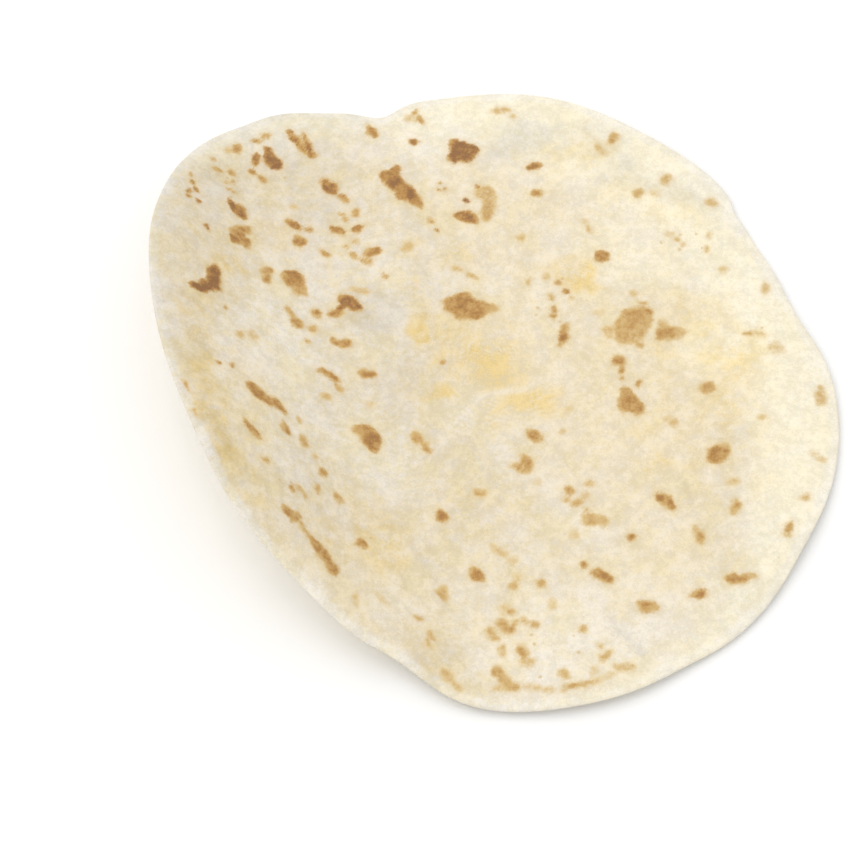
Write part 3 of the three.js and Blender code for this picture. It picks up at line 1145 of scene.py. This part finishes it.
def raw_dough(shader):
    """Cream dough, mottled yellow and white; buttery in places, with painted yellow reflected light at the
    left rim; paler with painted light through the margin; darker with painted shade where it lifts, in
    creases and in shaded patches.
    """
    painted_glow = shader.field("painted_glow")
    painted_shade = shader.field("painted_shade")
    # Painted light: the margin paler and yellower, as if lit through the sheet from below
    dough = shader.mix(shader.times(painted_glow, GLOW_PALENESS), CREAM, GLOWING_CREAM)
    dough = shader.mix(shader.times(shader.field("floury"), FLOURY_PALENESS), dough, FLOURY)
    # The rim is paler: partly floury, partly a painted highlight along the edge
    rim = shader.ramp(shader.field("rim_inset"), RIM_FADE)
    dough = shader.mix(shader.times(rim, shader.ramp(painted_shade, RIM_FLOUR_AND_HIGHLIGHT)), dough, FLOURY)

    mottle = shader.mix(shader.ramp(shader.noise(MOTTLE), MOTTLE_CHANGE), YELLOWED, WHITENED)
    mottle = shader.mix(shader.times(painted_glow, GLOW_CALMS), mottle, NO_SHADE)
    mottle = shader.mix(shader.ramp(painted_shade, SHADE_CALMS), mottle, NO_SHADE)
    light = shader.grey(shader.ramp(shader.noise(LIGHTNESS), LIGHT_CHANGE))
    # Painted shade, multiplied into the colour
    grey = shader.mix(painted_shade, NO_SHADE, SHADE_GREY)
    streaks = shader.ramp(shader.noise(BUTTER_STREAKS), BUTTER_CHANGE)
    # Buttery yellow, which at the left rim is painted reflected light
    butter_and_bounce = shader.mix(shader.times(shader.field("yellow"), streaks), NO_SHADE, BUTTER_AND_BOUNCE_YELLOW)
    for shade in (mottle, light, grey, butter_and_bounce):
        dough = shader.mix(1.0, dough, shade, "MULTIPLY")
    return dough


def toasted_dough(shader, dough):
    """Brown marks with ragged edges that fade through tan; the paler a mark is, the softer it fades."""
    ragged = shader.times(shader.plus(shader.noise(RAGGED_EDGES), -NOISE_MIDDLE), EDGE_RAGGEDNESS)
    distance = shader.plus(shader.field("toast_distance"), ragged)
    depth = shader.field("toast_depth")
    blotches = shader.ramp(shader.noise(BLOTCHES), BLOTCH_CHANGE)
    tone = shader.times(shader.times(depth, blotches), shader.ramp(distance, INWARD_CHANGE))
    toasted = shader.colours(tone, TOAST_TONES)
    solid = shader.ramp(shader.plus(shader.noise(PORES), depth), PORE_CHANGE)
    softness = shader.ramp(depth, EDGE_SOFTNESS)
    edge = Ramp(shader.times(softness, OUTER_EDGE), shader.times(softness, INNER_EDGE))
    cover = shader.times(shader.ramp(distance, edge), solid)
    halo = shader.times(shader.ramp(distance, HALO_FADE), shader.times(depth, HALO_STRENGTH))
    return shader.mix(cover, shader.mix(halo, dough, PALE_TAN), toasted)


def freckled_dough(shader, dough):
    """A few small specks in every place, and many in the freckled ones."""
    spread = {"Vector": shader.place, "Scale": 1 / (FRECKLE_SPACING * MM)}
    cells = add_node(shader.tree, "ShaderNodeTexVoronoi", spread)
    ragged = shader.times(shader.noise(FRECKLE_EDGES), FRECKLE_RAGGEDNESS)
    speck = shader.ramp(shader.plus(cells.outputs["Distance"], ragged), FRECKLE_FADE)
    share = shader.ramp(shader.field("freckled"), FRECKLE_SHARE)
    chosen = shader.math("LESS_THAN", cells.outputs["Color"], share)
    return shader.mix(shader.times(shader.times(speck, chosen), FRECKLE_STRENGTH), dough, TAN)


def dough_bumps(shader):
    fine = shader.times(shader.noise(FINE_BUMPS), FINE_BUMP_SHARE)
    broad = shader.times(shader.noise(BROAD_BUMPS), BROAD_BUMP_SHARE)
    inputs = {"Height": shader.plus(fine, broad), "Strength": BUMP_STRENGTH, "Distance": BUMP_HEIGHT * MM}
    return add_node(shader.tree, "ShaderNodeBump", inputs).outputs["Normal"]


def dough_material():
    material = bpy.data.materials.new("dough")
    shader = Shader(material)
    shader.surface(
        {
            "Base Color": freckled_dough(shader, toasted_dough(shader, raw_dough(shader))),
            "Roughness": DOUGH_ROUGHNESS,
            "Specular IOR Level": DOUGH_SPECULAR,
            "Normal": dough_bumps(shader),
        }
    )
    return material


def add_floor():
    half = TABLE_HALF
    mesh = bpy.data.meshes.new("floor")
    corners = [(x, y, TABLE_TOP) for x, y in ((-half, -half), (half, -half), (half, half), (-half, half))]
    mesh.from_pydata(corners, [], [(0, 1, 2, 3)])
    floor = bpy.data.objects.new("floor", mesh)
    bpy.context.collection.objects.link(floor)
    material = bpy.data.materials.new("white_table")
    Shader(material).surface({"Base Color": TABLE_WHITE, "Roughness": TABLE_ROUGHNESS})
    mesh.materials.append(material)


def add_softbox(name, place, size, power):
    light = bpy.data.lights.new(name, "AREA")
    light.shape = "DISK"
    light.size = size
    light.energy = power
    lamp = bpy.data.objects.new(name, light)
    lamp.location = place
    lamp.rotation_euler = (-Vector(place)).to_track_quat("-Z", "Y").to_euler()
    bpy.context.collection.objects.link(lamp)


def add_lights():
    world = bpy.data.worlds.new("studio")
    bpy.context.scene.world = world
    world.use_nodes = True
    background = world.node_tree.nodes["Background"]
    background.inputs["Color"].default_value = STUDIO_WHITE
    background.inputs["Strength"].default_value = STUDIO_LIGHT
    add_softbox("key", KEY_PLACE, KEY_SIZE, KEY_POWER)
    bpy.context.scene.view_settings.view_transform = "Standard"


def add_camera():
    data = bpy.data.cameras.new("camera")
    data.sensor_width = SENSOR_WIDTH
    data.lens = PIXELS_PER_MM * CAMERA_DISTANCE * SENSOR_WIDTH / PHOTO_SIZE
    camera = bpy.data.objects.new("camera", data)
    back = Vector((0, -math.cos(CAMERA_HEIGHT), math.sin(CAMERA_HEIGHT)))
    camera.location = (Vector(AIM) + back * CAMERA_DISTANCE) * MM
    camera.rotation_euler = (math.pi / 2 - CAMERA_HEIGHT, 0, 0)
    bpy.context.collection.objects.link(camera)
    bpy.context.scene.camera = camera


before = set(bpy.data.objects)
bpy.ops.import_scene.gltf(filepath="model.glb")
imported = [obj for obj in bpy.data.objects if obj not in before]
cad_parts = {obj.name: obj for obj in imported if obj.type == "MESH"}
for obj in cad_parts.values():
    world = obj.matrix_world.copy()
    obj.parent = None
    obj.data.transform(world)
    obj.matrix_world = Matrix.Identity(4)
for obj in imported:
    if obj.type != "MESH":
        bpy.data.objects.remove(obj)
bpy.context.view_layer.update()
add_camera()
add_lights()
add_floor()

tortilla = build_tortilla()
bpy.context.collection.objects.link(tortilla)
tortilla.data.materials.append(dough_material())
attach(tortilla, "root")
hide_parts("tortilla")
